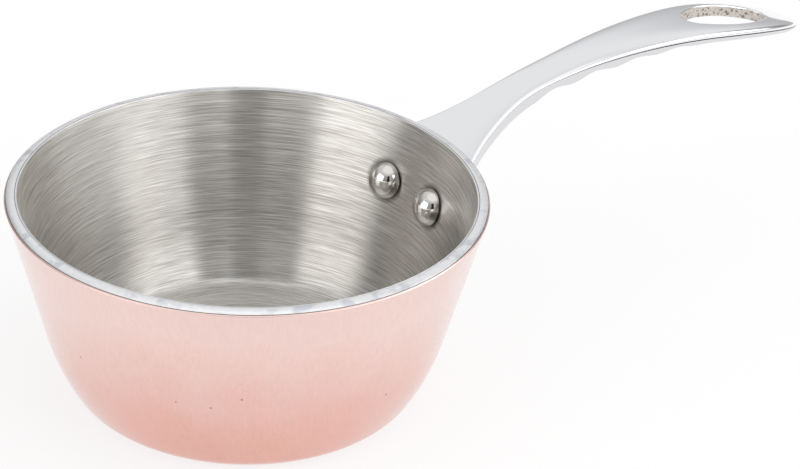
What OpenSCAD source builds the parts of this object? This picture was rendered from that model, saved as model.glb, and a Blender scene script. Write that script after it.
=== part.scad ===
// Clad saucepan with a long cast handle.
// The pan stands on Z = 0 with its axis on Z, and the handle runs out along +X.

/* [Pan] */
// Outer diameter at the rim
rim_d = 160; // [140:1:220]
// Height of the middle of the rim above the resting face
pan_h = 72; // [64:1:110]
// Outward lean of the straight wall from upright, in degrees
wall_lean = 14.3; // [10:0.1:18]
// Outer radius of the long bend below the straight wall
belly_r = 73; // [60:1:90]
// Lean of the wall where the long bend meets the heel bend, in degrees
heel_lean = 30.5; // [25:0.5:38]
// Outer radius of the heel bend between the wall and the flat base
heel_r = 9; // [7:0.5:14]
// Radius of the dome ground along the rim
rim_round_r = 5; // [4:0.5:12]

/* [Clad sheet] */
// Thickness of the outer copper layer
copper_t = 0.6; // [0.3:0.1:1]
// Thickness of the aluminium core
core_t = 3.2; // [2:0.1:3.6]
// Thickness of the inner stainless layer
steel_t = 0.6; // [0.3:0.1:1]

/* [Handle outline] */
// Length of the handle past the rim
handle_l = 182.5; // [165:0.5:220]
// Distance from the rim to the narrowest place of the neck
neck_out = 40; // [34:1:46]
// Width of the neck at its narrowest place
neck_w = 15.5; // [12:0.5:20]
// Radius, seen from above, by which the neck widens towards the wall
flare_r = 75; // [62:1:100]
// Distance from the widest place of the grip to the tip
tip_l = 43.5; // [34:0.5:52]
// Width of the grip at its widest place
grip_w = 30.8; // [28:0.2:36]

/* [Handle rise] */
// Depth of the handle's top edge below the rim where it meets the wall
root_drop = 8.5; // [7:0.5:12]
// Slope at which the neck climbs away from the wall, in degrees
climb = 21.8; // [18:0.2:26]
// Distance from the rim to the end of the straight climb
bend_out = 26; // [18:1:32]
// Radius of the short bend over the neck
neck_bend_r = 95; // [80:1:120]
// Slope where the short bend meets the long bend, in degrees
ease_slope = 8.5; // [6:0.5:12]
// Radius of the long bend over the grip
grip_bend_r = 300; // [260:5:400]

/* [Handle section] */
// Height of the crown above the side edges at the neck
neck_crown = 1; // [0.5:0.1:2]
// Height of the crown above the side edges at the grip
grip_crown = 2.8; // [2:0.1:4]
// Depth of the side face at the wall
root_side = 6.2; // [5:0.1:8]
// Depth of the side face beside the hanging hole
end_side = 1.9; // [1.5:0.1:3]
// Inward slope of each side face from its top edge to its foot
side_draft = 0.5; // [0.2:0.1:1]
// Depth by which the underside swells below the side faces at the neck
neck_swell = 1.5; // [0.5:0.1:2.5]
// Depth by which the underside swells below the side faces beside the hole
end_swell = 0.3; // [0.1:0.1:0.6]

/* [Finger grooves] */
// Number of finger grooves across the underside
finger_count = 4; // [1:1:4]
// Distance from the rim to the first groove
finger_out = 49; // [44:1:54]
// Spacing of the grooves
finger_pitch = 19; // [16:0.5:21]

/* [Hanging hole] */
// Distance from the middle of the hole to the tip
hole_back = 40.5; // [36:0.5:46]
// Length of the hole
hole_l = 42; // [30:0.5:46]
// Width of the hole
hole_w = 19.6; // [16:0.2:22]
// Radius of the hole's two ends
hole_end_r = 6; // [4:0.5:7]

/* [Flange] */
// Width of the flange that lies against the wall, at the handle's top edge
flange_w = 46; // [42:1:50]
// Amount by which the flange is narrower at its lower edge
flange_taper = 6; // [3:0.5:8]
// Thickness of the flange
flange_t = 4; // [3:0.5:6]
// Height of the flange, from its lower edge to the handle's top edge
flange_h = 23.5; // [22:0.5:28]
// Height of the flange's rounded lower corners
flange_corner = 11; // [8:0.5:13]
// Radius of the hollow between the flange and the underside of the neck
hollow_r = 5; // [3:0.5:8]
// Thickness of the web in the middle of the hollow
web_t = 8; // [5:0.5:9]
// Radius of the web's hollow edge
web_r = 16; // [12:1:20]

/* [Rivets] */
// Depth of the rivets below the handle's top edge, at the lining
rivet_drop = 13.6; // [12:0.2:14]
// Distance between the two rivets at the lining
rivet_pitch = 24.4; // [22:0.2:26]
// Diameter of the domed head inside the pan
head_d = 13.4; // [11:0.2:14]
// Height of the domed head
head_h = 6; // [3:0.1:6.4]
// Height of the upright edge below the dome of each head and closed end
rivet_edge = 0.5; // [0.4:0.1:1]
// Diameter of the shank
shank_d = 6; // [5:0.2:7]
// Diameter of the closed end on the flange
tail_d = 9.6; // [8:0.2:10]
// Height of the closed end
tail_h = 2; // [1.5:0.1:2.5]
// Gap between the shank and its hole, on the radius
rivet_gap = 0.1; // [0.05:0.05:0.2]

/* [Hidden] */
$fn = 96;

// Overrun of every cut past the face that it cuts
over = 1;

// The clad sheet: depths into the wall, measured square from the copper's outer face
wall_t = copper_t + core_t + steel_t;

// Unit vectors, as [radius, height], square to the wall and pointing out of the pan
wall_out = [cos(wall_lean), -sin(wall_lean)];
heel_out = [cos(heel_lean), -sin(heel_lean)];
wall_up = [sin(wall_lean), cos(wall_lean)];

// Outer profile of the pan, from the rim down: the rim corner, the centre of the long bend,
// and the centre of the heel bend, which stands over the edge of the flat base
rim_r = rim_d / 2;
rim_corner = [rim_r, pan_h + wall_out[1] * wall_t / 2];
belly_top_z = heel_r - (belly_r - heel_r) * heel_out[1] + belly_r * wall_out[1];
belly_top_r = rim_r - (rim_corner[1] - belly_top_z) * tan(wall_lean);
belly_centre = [belly_top_r, belly_top_z] - belly_r * wall_out;
heel_centre = belly_centre + (belly_r - heel_r) * heel_out;
base_r = heel_centre[0];

// Radius of the wall at a height, at a depth into the wall
function wall_radius(z, depth) =
    rim_r - (rim_corner[1] - z) * tan(wall_lean) - depth / cos(wall_lean);

// Places along the handle, as distances from the pan's axis
neck_at = rim_r + neck_out;
bend_at = rim_r + bend_out;
finger_at = rim_r + finger_out;
handle_reach = rim_r + handle_l;
grip_at = handle_reach - tip_l;
hole_at = handle_reach - hole_back;

// Heights where the handle meets the wall
root_z = pan_h - root_drop;
flange_z = root_z - flange_h;
rivet_z = root_z - rivet_drop;

// Rivets: radius and angle of each rivet's axis where it leaves the lining
rivet_r = wall_radius(rivet_z, wall_t);
rivet_angle = asin(rivet_pitch / 2 / rivet_r);

// Heights of the handle's side edge along its two bends
root_at = wall_radius(root_z, 0);
bend_z = root_z + (bend_at - root_at) * tan(climb);
ease_at = bend_at + neck_bend_r * (sin(climb) - sin(ease_slope));
ease_z = bend_z + neck_bend_r * (cos(ease_slope) - cos(climb));

// Shares of the way from the neck to the grip over which the sides start and stop widening
widen_start_share = 0.3;
widen_stop_share = 0.15;
// Share of the side face's depth that a finger groove takes
groove_depth_share = 0.35;
// Powers of the curves that round the tip, the crown and the underside
tip_power = 1.9;
flat_power = 4;
palm_power = 2.6;
// Power of the curve that rounds the flange's lower corners
corner_power = 3;
// Steps of the handle's surface: along the neck and grip, round the tip, over and under,
// and of the flange's outline
grip_steps = 46;
tip_steps = 14;
top_steps = 16;
under_steps = 10;
flange_steps = 12;
// Last angle of the steps round the tip, which leaves the tip a sliver of width
tip_angle = 88;
// Depth to which the neck reaches behind the wall's face before the pan is cut from it
root_depth = 3;
root_start = root_at - root_depth;

function clamp01(x) = min(1, max(0, x));
function ease01(x) = (1 - cos(180 * clamp01(x))) / 2;
function blend(a, b, share) = a + (b - a) * share;
function signed_pow(x, power) = sign(x) * pow(abs(x), power);

// Height of the handle's side edge at a distance from the pan's axis
function edge_z(s) =
    s < bend_at ? root_z + (s - root_at) * tan(climb)
    : s < ease_at ? bend_z + neck_bend_r * (cos(asin(sin(climb) - (s - bend_at) / neck_bend_r)) - cos(climb))
    : ease_z + grip_bend_r * (cos(asin(sin(ease_slope) - (s - ease_at) / grip_bend_r)) - cos(ease_slope));

// Share of the widening reached at a share of the way from neck to grip: a straight flank
// that starts and stops softly
function widen_share(u) =
    (u < widen_start_share ? u * u / widen_start_share / 2
    : u < 1 - widen_stop_share ? u - widen_start_share / 2
    : 1 - (widen_start_share + widen_stop_share) / 2 - (1 - u) * (1 - u) / widen_stop_share / 2)
    / (1 - (widen_start_share + widen_stop_share) / 2);

// Share of the way from the widest place to the tip
function tip_share(s) = clamp01((s - grip_at) / (handle_reach - grip_at));
function tip_round(s) = pow(1 - pow(tip_share(s), tip_power), 1 / tip_power);

// Half of the handle's width
function half_w(s) =
    s < neck_at ? neck_w / 2 + flare_r - sqrt(flare_r * flare_r - (neck_at - s) * (neck_at - s))
    : s < grip_at ? blend(neck_w, grip_w, widen_share((s - neck_at) / (grip_at - neck_at))) / 2
    : grip_w / 2 * tip_round(s);

// Share of the way from the neck's section to the palm's, and from the palm's to the end's
function palm_share(s) = ease01((s - bend_at) / (blend(neck_at, grip_at, 1 / 2) - bend_at));
function end_share(s) = clamp01((s - root_at) / (hole_at - hole_l / 2 - root_at));
function crown(s) = blend(neck_crown, grip_crown, palm_share(s)) * sqrt(tip_round(s));
function crown_power(s) =
    blend(flat_power, palm_power, ease01((s - bend_at) / (finger_at - bend_at))
        * (1 - ease01((s - finger_at - finger_pitch) / (grip_at - finger_at - finger_pitch))));

// Depth of the finger grooves, as raised cosine waves side by side
function finger_wave(s) =
    let (turns = (s - finger_at) / finger_pitch)
    turns < -1 / 2 || turns > finger_count - 1 / 2 ? 0 : (1 + cos(360 * turns)) / 2;
function side_depth(s) =
    blend(root_side, end_side, end_share(s)) * (1 - groove_depth_share * finger_wave(s))
    * blend(1, tip_round(s), 1 / 2);
function swell(s) = blend(neck_swell, end_swell, end_share(s)) * tip_round(s);

// One cross-section: over the crown from the left edge to the right one, then back underneath
function section(s) =
    let (w = half_w(s), z = edge_z(s), rise = crown(s), power = 2 / crown_power(s))
    let (foot = max(w - side_draft, w / 2), side = side_depth(s), drop = swell(s))
    concat(
        [for (i = [0 : top_steps])
            let (a = 180 * i / top_steps)
            [s, w * signed_pow(cos(a), power), z + rise * pow(sin(a), power)]],
        [for (i = [0 : under_steps])
            let (a = 180 * i / under_steps)
            [s, -foot * signed_pow(cos(a), 2 / flat_power),
                z - side - drop * pow(sin(a), 2 / flat_power)]]);

// Places of the cross-sections, closer together round the tip
stations = concat(
    [for (i = [0 : grip_steps]) blend(root_start, grip_at, i / grip_steps)],
    [for (i = [1 : tip_steps]) grip_at + (handle_reach - grip_at) * sin(tip_angle * i / tip_steps)]);

// A closed surface through a list of rings that have the same number of points
module loft(rings) {
    n = len(rings[0]);
    last = (len(rings) - 1) * n;
    sides = [for (r = [0 : len(rings) - 2], i = [0 : n - 1], half = [0, 1])
        let (a = r * n + i, b = r * n + (i + 1) % n)
        half == 0 ? [a, a + n, b] : [b, a + n, b + n]];
    polyhedron(
        points = [for (ring = rings) each ring],
        faces = concat(
            [[for (i = [0 : n - 1]) i]],
            sides,
            [[for (i = [n - 1 : -1 : 0]) last + i]]),
        convexity = 6);
}

// Half profile of everything inside the surface at a depth into the wall, open past the rim
module filled_profile(depth) {
    rim_end = rim_corner - depth * wall_out + over * wall_up;
    union() {
        polygon([
            [0, depth],
            [base_r, depth],
            heel_centre + (heel_r - depth) * heel_out,
            belly_centre + (belly_r - depth) * wall_out,
            rim_end,
            [0, rim_end[1]]]);
        translate(heel_centre) circle(r = heel_r - depth);
        intersection() {
            translate(belly_centre) circle(r = belly_r - depth);
            polygon([
                belly_centre + belly_r / 2 * heel_out,
                belly_centre + belly_r * 2 * heel_out,
                belly_centre + belly_r * 2 * wall_out,
                belly_centre + belly_r / 2 * wall_out]);
        }
    }
}

// Half profile of the space below the rim's dome, which is ground square to the wall
module rim_profile() {
    dome = rim_corner - wall_t / 2 * wall_out - rim_round_r * wall_up;
    union() {
        translate(dome) circle(r = rim_round_r);
        polygon([
            [0, -over],
            [rim_d, -over],
            dome + rim_d * wall_out,
            [0, dome[1] - dome[0] * wall_out[1] / wall_out[0]]]);
    }
}

module filled_pan(depth) {
    rotate_extrude() filled_profile(depth);
}

// One layer of the clad sheet between two depths, with the rivets' holes
module layer(outer, inner) {
    difference() {
        rotate_extrude()
            intersection() {
                difference() {
                    filled_profile(outer);
                    filled_profile(inner);
                }
                rim_profile();
            }
        rivet_holes();
    }
}

// Places its children on a rivet's axis: Z points out of the pan and starts at the lining
module at_rivet(side) {
    rotate([0, 0, side * rivet_angle])
        translate([rivet_r, 0, rivet_z])
            rotate([0, 90 + wall_lean, 0])
                children();
}

module rivet_holes() {
    for (side = [-1, 1])
        at_rivet(side)
            translate([0, 0, -head_h])
                cylinder(r = shank_d / 2 + rivet_gap, h = head_h + wall_t + flange_t + tail_h);
}

// A spherical dome of a diameter and height, with an upright edge that its seat trims
module dome(d, h) {
    cap_h = h - rivet_edge;
    sphere_r = (d * d / 4 + cap_h * cap_h) / cap_h / 2;
    rotate_extrude()
        union() {
            intersection() {
                translate([0, h - sphere_r]) circle(r = sphere_r);
                translate([0, rivet_edge]) square([d / 2, cap_h]);
            }
            translate([0, -over]) square([d / 2, over + rivet_edge]);
        }
}

// The cone of the straight wall at a depth, round the height of the rivets
module wall_cone(depth) {
    low = rivet_z - head_d;
    high = rivet_z + head_d;
    translate([0, 0, low])
        cylinder(r1 = wall_radius(low, depth), r2 = wall_radius(high, depth), h = high - low);
}

module rivet(side) {
    union() {
        intersection() {
            at_rivet(side) mirror([0, 0, 1]) dome(head_d, head_h);
            wall_cone(wall_t);
        }
        at_rivet(side)
            translate([0, 0, -over])
                cylinder(r = shank_d / 2, h = over + wall_t + flange_t + over);
        difference() {
            at_rivet(side) translate([0, 0, wall_t + flange_t]) dome(tail_d, tail_h);
            wall_cone(-flange_t);
        }
    }
}

// The hole's outline: two round ends joined by two long arcs that touch them
module oval(l, w, end_r) {
    end_x = l / 2 - end_r;
    side_r = (end_x * end_x + w * w / 4 - end_r * end_r) / (w - 2 * end_r);
    touch_x = end_x * side_r / (side_r - end_r);
    union() {
        for (side = [-1, 1])
            translate([side * end_x, 0]) circle(r = end_r);
        intersection() {
            translate([0, w / 2 - side_r]) circle(r = side_r);
            translate([0, side_r - w / 2]) circle(r = side_r);
            square([2 * touch_x, w], center = true);
        }
    }
}

// Half width of the flange at a height: it tapers down to its rounded lower corners
function flange_half(z) =
    let (down = clamp01((flange_z + flange_corner - z) / flange_corner))
    (flange_w - flange_taper * (root_z - z) / flange_h) / 2
    * pow(1 - pow(down, corner_power), 1 / corner_power);

// The flange's outline, seen along the handle
module flange_outline() {
    top = root_z - root_side + over;
    heights = concat(
        [for (i = [0 : flange_steps])
            flange_z + flange_corner * (1 - pow(cos(90 * i / flange_steps), 2 / corner_power))],
        [top]);
    ends = len(heights) - 1;
    polygon(concat(
        [for (i = [0 : ends]) [flange_half(heights[i]), heights[i]]],
        [for (i = [ends : -1 : 1]) [-flange_half(heights[i]), heights[i]]]));
}

module flange() {
    intersection() {
        filled_pan(-flange_t);
        rotate([90, 0, 90]) linear_extrude(height = rim_d) flange_outline();
    }
}

// The neck seen from above, between the feet of its side faces
module neck_outline() {
    places = [for (i = [0 : flange_steps]) blend(root_start, neck_at, i / flange_steps)];
    polygon(concat(
        [for (i = [0 : flange_steps]) [places[i], half_w(places[i]) - side_draft]],
        [for (i = [flange_steps : -1 : 0]) [places[i], side_draft - half_w(places[i])]]));
}

// Metal in the corner under the neck, of a width, with a hollow round edge of a radius
module corner_fill(width, r) {
    face_at = wall_radius(root_z - root_side - r, -flange_t);
    top = edge_z(face_at + r) - side_depth(face_at + r);
    low = max(flange_z, top - r);
    translate([0, width / 2, 0])
        rotate([90, 0, 0])
            linear_extrude(height = width)
                difference() {
                    translate([root_start, low])
                        square([face_at + r - root_start, top - low]);
                    translate([face_at + r, top - r]) circle(r = r);
                }
}

module handle() {
    color("#d9dbde")
        difference() {
            union() {
                loft([for (s = stations) section(s)]);
                flange();
                intersection() {
                    union() {
                        corner_fill(flange_w, hollow_r);
                        corner_fill(web_t, web_r);
                    }
                    linear_extrude(height = 2 * pan_h) neck_outline();
                }
            }
            filled_pan(0);
            rivet_holes();
            translate([hole_at, 0, 0])
                linear_extrude(height = 2 * pan_h) oval(hole_l, hole_w, hole_end_r);
        }
}

module copper_shell() {
    color("#e3bcae") layer(0, copper_t);
}

module aluminium_core() {
    color("#c9ced6") layer(copper_t, copper_t + core_t);
}

module steel_lining() {
    color("#b9b4ae") layer(copper_t + core_t, wall_t);
}

module rivet_left() {
    color("#eef0f2") rivet(1);
}

module rivet_right() {
    color("#eef0f2") rivet(-1);
}

copper_shell();
aluminium_core();
steel_lining();
handle();
rivet_left();
rivet_right();
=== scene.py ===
# %% [markdown]
# # A clad saucepan with a cast handle
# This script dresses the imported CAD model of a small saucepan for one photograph.
# The pan is a sheet of three metals, copper outside, aluminium in the middle and
# stainless steel inside, and two rivets hold a long cast steel handle to it.
# The CAD model gives every size and place. What this script adds is smooth
# surfaces, the small rounded edges that catch the light, and the metals' finishes.

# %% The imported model
import bmesh
import bpy
import numpy as np
from mathutils import Matrix, Vector


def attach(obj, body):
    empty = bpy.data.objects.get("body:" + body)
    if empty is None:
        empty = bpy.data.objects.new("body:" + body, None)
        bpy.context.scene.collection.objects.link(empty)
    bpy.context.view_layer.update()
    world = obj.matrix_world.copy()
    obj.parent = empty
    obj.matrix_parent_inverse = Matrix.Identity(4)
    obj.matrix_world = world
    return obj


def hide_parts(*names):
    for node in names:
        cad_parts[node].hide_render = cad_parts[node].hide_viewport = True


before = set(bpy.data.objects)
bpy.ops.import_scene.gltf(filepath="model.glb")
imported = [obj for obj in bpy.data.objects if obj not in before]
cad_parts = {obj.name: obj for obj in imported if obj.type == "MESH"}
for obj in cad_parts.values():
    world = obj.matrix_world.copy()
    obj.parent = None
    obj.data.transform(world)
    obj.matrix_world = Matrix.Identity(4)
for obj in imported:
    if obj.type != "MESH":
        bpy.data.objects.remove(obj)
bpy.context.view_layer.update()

print("CAD nodes:", sorted(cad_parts))

# %% [markdown]
# ## The camera
# The photograph is taken from in front and to the left of the pan, about a third of
# the way up from level, with a long lens, so the rim looks like a plain ellipse.
# A camera is easiest to place by its direction and distance from what it looks at.

# %% Camera
azimuth, elevation, roll = np.radians([-36.0, 32.64, 3.156])
distance = 0.8
aim = Vector((0.04105, -0.02982, 0.05589))
stand = distance * Vector((
    np.sin(azimuth) * np.cos(elevation),
    -np.cos(azimuth) * np.cos(elevation),
    np.sin(elevation)))
lens = bpy.data.cameras.new("photo_camera")
lens.sensor_width = 36
lens.lens = 103.94
lens.clip_end = 50
camera = bpy.data.objects.new("photo_camera", lens)
bpy.context.collection.objects.link(camera)
look = (aim - stand).to_track_quat("-Z", "Y").to_matrix().to_4x4()
camera.matrix_world = Matrix.Translation(stand) @ look @ Matrix.Rotation(roll, 4, "Z")
bpy.context.scene.camera = camera
print("camera stands at", [round(v, 3) for v in stand])

# %% [markdown]
# ## From numbers to a mesh
# Every new piece here is a grid: rows and columns of points worked out with numpy,
# with a four-sided face between each point and its neighbours. Grids that share an
# edge have the same points there, so merging those points closes the surface.

# %% Grids and meshes
MM = 0.001

def xyz(x, y, z):
    """Points from three arrays, each first spread to the shape that fits all three."""
    return np.stack(np.broadcast_arrays(x, y, z), axis=-1)

def grid(points, flip=False):
    """Faces between neighbouring points of a rows x columns x 3 array of millimetres."""
    rows, columns = points.shape[:2]
    index = np.arange(rows * columns).reshape(rows, columns)
    corners = [index[:-1, :-1], index[1:, :-1], index[1:, 1:], index[:-1, 1:]]
    faces = np.stack(corners[::-1] if flip else corners, axis=-1).reshape(-1, 4)
    return points.reshape(-1, 3), faces

def join(patches):
    """One list of points and one of faces, with each patch's numbers moved along."""
    starts = np.cumsum([0] + [len(points) for points, _ in patches[:-1]])
    points = np.concatenate([points for points, _ in patches])
    faces = np.concatenate([faces + start for (_, faces), start in zip(patches, starts)])
    return points, faces

def make_piece(name, points, faces, sharp_degrees=35):
    """A mesh object with merged seams, smooth faces and edges sharp past an angle."""
    mesh = bpy.data.meshes.new(name)
    mesh.from_pydata((points * MM).tolist(), [], faces.tolist())
    piece = bpy.data.objects.new(name, mesh)
    bpy.context.collection.objects.link(piece)
    shell = bmesh.new()
    shell.from_mesh(mesh)
    bmesh.ops.remove_doubles(shell, verts=shell.verts, dist=2e-7)
    open_edges = sum(not edge.is_manifold for edge in shell.edges)
    volume = shell.calc_volume(signed=True)
    shell.to_mesh(mesh)
    shell.free()
    mesh.shade_smooth()
    mesh.set_sharp_from_angle(angle=np.radians(sharp_degrees))
    print(f"{name}: {len(mesh.polygons)} faces, {open_edges} open edges, {volume * 1e9:.0f} mm3")
    return piece

# %% [markdown]
# ## The pan's profile
# A sheet pan is pressed and then spun, so it is the same all round and a half profile
# says everything: flat base, tight heel bend, long belly bend, straight leaning wall.
# Each layer of the sheet is the same profile moved inwards by a depth, which only
# changes the radii of the bends and not their centres.

# %% Profile of the pan
rim_r, pan_h = 80.0, 72.0
lean, heel_lean = np.radians([14.3, 30.5])
belly_r, heel_r, rim_round_r = 73.0, 9.0, 5.0
copper_t, core_t, steel_t = 0.6, 3.2, 0.6
wall_t = copper_t + core_t + steel_t

wall_out = np.array([np.cos(lean), -np.sin(lean)])
wall_up = np.array([np.sin(lean), np.cos(lean)])
heel_out = np.array([np.cos(heel_lean), -np.sin(heel_lean)])
rim_corner = np.array([rim_r, pan_h + wall_out[1] * wall_t / 2])
belly_top_z = heel_r - (belly_r - heel_r) * heel_out[1] + belly_r * wall_out[1]
belly_top_r = rim_r - (rim_corner[1] - belly_top_z) * np.tan(lean)
belly_centre = np.array([belly_top_r, belly_top_z]) - belly_r * wall_out
heel_centre = belly_centre + (belly_r - heel_r) * heel_out

def wall_radius(z, depth=0.0):
    """Radius of the straight wall at a height: a cone, moved inwards by a depth."""
    return rim_r - (rim_corner[1] - z) * np.tan(lean) - depth / np.cos(lean)

def arc(centre, radius, start, stop, steps):
    """Points on a circle: centre plus radius times (cosine, sine) of evenly spaced angles."""
    angle = np.linspace(start, stop, steps)
    return centre + radius * np.stack([np.cos(angle), np.sin(angle)], axis=-1)

def rim_point(depth):
    """The rim is a low dome across the sheet: a circle round a point under its middle."""
    across = wall_t / 2 - depth
    dome = rim_corner - wall_t / 2 * wall_out - rim_round_r * wall_up
    return dome + across * wall_out + np.sqrt(rim_round_r ** 2 - across ** 2) * wall_up

def side_profile(depth, trim):
    """From the axis out along the base, round the heel and belly and up to the rim."""
    base = np.stack([np.linspace(0, heel_centre[0], 30), np.full(30, depth)], axis=-1)
    heel = arc(heel_centre, heel_r - depth, -np.pi / 2, -heel_lean, 14)
    belly = arc(belly_centre, belly_r - depth, -heel_lean, -lean, 14)
    top = rim_point(depth) - trim * wall_up
    share = np.linspace(0, 1, 28)[:, None]
    wall = belly[-1] + (top - belly[-1]) * share
    return np.concatenate([base, heel[1:], belly[1:], wall[1:]])

print("wall thickness", wall_t, "mm, base radius", round(float(heel_centre[0]), 1), "mm")

# %% [markdown]
# ## Turning a profile into a layer
# A lathe turns a profile round the axis. At the rim each layer gets two tiny rounded
# corners, because that is where the layers meet in the open: on the real pan the
# joints show as hair lines, where the cut edges have been eased with a file.

# %% Layers of the sheet
corner_r = 0.12

def soft_corner(before, corner, after, steps=5):
    """A quadratic curve that leaves one side, leans to the corner and joins the other."""
    t = np.linspace(0, 1, steps).reshape(-1, *[1] * np.ndim(corner))
    return (1 - t) ** 2 * before + 2 * t * (1 - t) * corner + t ** 2 * after

def layer_profile(outer, inner):
    """Inner side up, over the rim with eased corners, then the outer side down."""
    rise, fall = side_profile(inner, corner_r), side_profile(outer, corner_r)
    rim = np.array([rim_point(d) for d in np.linspace(inner - corner_r, outer + corner_r, 9)])
    over = np.concatenate([
        soft_corner(rise[-1], rim_point(inner), rim[0]),
        rim[1:-1],
        soft_corner(rim[-1], rim_point(outer), fall[-1])])
    return np.concatenate([rise, over[1:], fall[::-1][1:]])

def lathe(profile, turns=256):
    """Point at angle a is (r cos a, r sin a, z), for every profile point and angle."""
    angle = np.linspace(0, 2 * np.pi, turns + 1)
    angle[-1] = 0
    r, z = profile[:, :1], profile[:, 1:]
    return grid(xyz(r * np.cos(angle), r * np.sin(angle), z))

layers = {
    "copper_shell": ("copper_skin", 0.0, copper_t),
    "aluminium_core": ("aluminium_middle", copper_t, copper_t + core_t),
    "steel_lining": ("brushed_lining", copper_t + core_t, wall_t)}
pieces = {node: make_piece(name, *lathe(layer_profile(outer, inner)), 60)
          for node, (name, outer, inner) in layers.items()}

# %% [markdown]
# ## The handle's lines
# The handle is one steel casting. Three lines describe it along its length: how high
# its side edges run, how wide it is, and how deep its sides are. The edge climbs from
# the wall in a straight slope and then bends over twice, first tightly over the neck
# and then gently over the grip. These are the same lines as in the CAD model.

# %% Lines along the handle
reach, neck_at, bend_at, finger_at = 262.5, 120.0, 106.0, 129.0
grip_at, hole_at = reach - 43.5, reach - 40.5
neck_w, grip_w, flare_r = 15.5, 30.8, 75.0
root_z, climb, ease_slope = 63.5, np.radians(21.8), np.radians(8.5)
neck_bend_r, grip_bend_r = 95.0, 300.0
root_at = wall_radius(root_z)
bend_z = root_z + (bend_at - root_at) * np.tan(climb)
ease_at = bend_at + neck_bend_r * (np.sin(climb) - np.sin(ease_slope))
ease_z = bend_z + neck_bend_r * (np.cos(ease_slope) - np.cos(climb))
hole_l, hole_w, hole_end_r = 42.0, 19.6, 6.0
tip_power = 1.9

def soft_step(x):
    """Half a cosine wave from 0 to 1."""
    return (1 - np.cos(np.pi * np.clip(x, 0, 1))) / 2

def on_bend(s, start, height, slope, radius):
    """Height on a circle that leaves a place at a slope and bends downwards."""
    sine = np.clip(np.sin(slope) - (s - start) / radius, -1, 1)
    return height + radius * (np.sqrt(1 - sine ** 2) - np.cos(slope))

def edge_z(s):
    """A straight slope, then the two bends one after the other."""
    straight = root_z + (s - root_at) * np.tan(climb)
    short = on_bend(s, bend_at, bend_z, climb, neck_bend_r)
    long = on_bend(s, ease_at, ease_z, ease_slope, grip_bend_r)
    return np.where(s < bend_at, straight, np.where(s < ease_at, short, long))

def tip_round(s):
    """A blunt rounded end: the share to the tip and the share of width, powered, add to 1."""
    share = np.clip((s - grip_at) / (reach - grip_at), 0, 1)
    return (1 - share ** tip_power) ** (1 / tip_power)

def half_w(s):
    """A hollow flare from the wall, a straight widening with soft ends, then the tip."""
    flare = neck_w / 2 + flare_r - np.sqrt(flare_r ** 2 - np.clip(neck_at - s, 0, 60) ** 2)
    u = np.clip((s - neck_at) / (grip_at - neck_at), 0, 1)
    start, stop = 0.3, 0.15
    gain = np.where(u < start, u * u / start / 2, np.where(
        u < 1 - stop, u - start / 2, 1 - (start + stop) / 2 - (1 - u) ** 2 / stop / 2))
    widen = (neck_w + (grip_w - neck_w) * gain / (1 - (start + stop) / 2)) / 2
    return np.where(s < neck_at, flare, np.where(s < grip_at, widen, grip_w / 2 * tip_round(s)))

palm_from = (neck_at + grip_at) / 2
groove_pitch, groove_share = 19.0, 0.35
crown_h, palm_more_h = 1.0, 1.8
side_h, side_loss_h = 6.2, 4.3
swell_h, swell_loss_h = 1.5, 1.2

def palm_share(s):
    """A soft step from 0 where the neck bends to 1 where the palm begins."""
    return soft_step((s - bend_at) / (palm_from - bend_at))

def end_share(s):
    """A straight line from 0 at the wall to 1 at the near end of the hole."""
    return np.clip((s - root_at) / (hole_at - hole_l / 2 - root_at), 0, 1)

def crown(s):
    """Rise of the top's middle above its edges: 1 mm, and 1.8 more in the palm."""
    return (crown_h + palm_more_h * palm_share(s)) * np.sqrt(tip_round(s))

def crown_power(s):
    """4 is flat with tight edges, 2.6 is rounder, as it is over the fingers."""
    rounder = soft_step((s - bend_at) / (finger_at - bend_at)) * (
        1 - soft_step((s - finger_at - groove_pitch) / (grip_at - finger_at - groove_pitch)))
    return 4 - 1.4 * rounder

def side_depth(s):
    """Depth of the side, less a third where the cosine waves of the finger grooves are."""
    turns = (s - finger_at) / groove_pitch
    wave = np.where((turns < -0.5) | (turns > 3.5), 0, (1 + np.cos(2 * np.pi * turns)) / 2)
    depth = side_h - side_loss_h * end_share(s)
    return depth * (1 - groove_share * wave) * (1 + tip_round(s)) / 2

def top_z(s, y):
    """Edge height plus a crown: y and the rise, as shares, powered, add to 1."""
    power, share = crown_power(s), np.clip(y / np.maximum(half_w(s), 1e-6), 0, 1)
    return edge_z(s) + crown(s) * (1 - share ** power) ** (1 / power)

def foot_w(s):
    """Half width at the foot of the side, which leans in by half a millimetre."""
    return np.maximum(half_w(s) - 0.5, half_w(s) / 2)

def under_z(s, y):
    """The underside swells below the sides by a curve of the fourth power."""
    swell = (swell_h - swell_loss_h * end_share(s)) * tip_round(s)
    share = np.clip(y / np.maximum(foot_w(s), 1e-6), 0, 1)
    return edge_z(s) - side_depth(s) - swell * (1 - share ** 4)

for place, s in {"neck": neck_at, "grip": grip_at}.items():
    print(place, "is", round(float(2 * half_w(s)), 1), "mm wide, top at",
          round(float(top_z(s, 0)), 1), "mm")

# %% [markdown]
# ## The hanging hole
# The hole is an oval with round ends and long bowed sides. Every point of such an
# outline can be found from the direction that it faces: a circle's centre plus its
# radius in that direction. Moving the outline outwards only adds to the radius, and
# that is how the hole gets its eased upper edge.

# %% Outline of the hole
end_x = hole_l / 2 - hole_end_r
side_r = (end_x ** 2 + hole_w ** 2 / 4 - hole_end_r ** 2) / (hole_w - 2 * hole_end_r)
side_turn = np.arctan2(end_x, side_r - hole_w / 2)
facing = np.concatenate([
    np.linspace(np.pi, np.pi / 2 + side_turn, 15)[:-1],
    np.linspace(np.pi / 2 + side_turn, np.pi / 2 - side_turn, 31)[:-1],
    np.linspace(np.pi / 2 - side_turn, 0, 15)])

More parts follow.
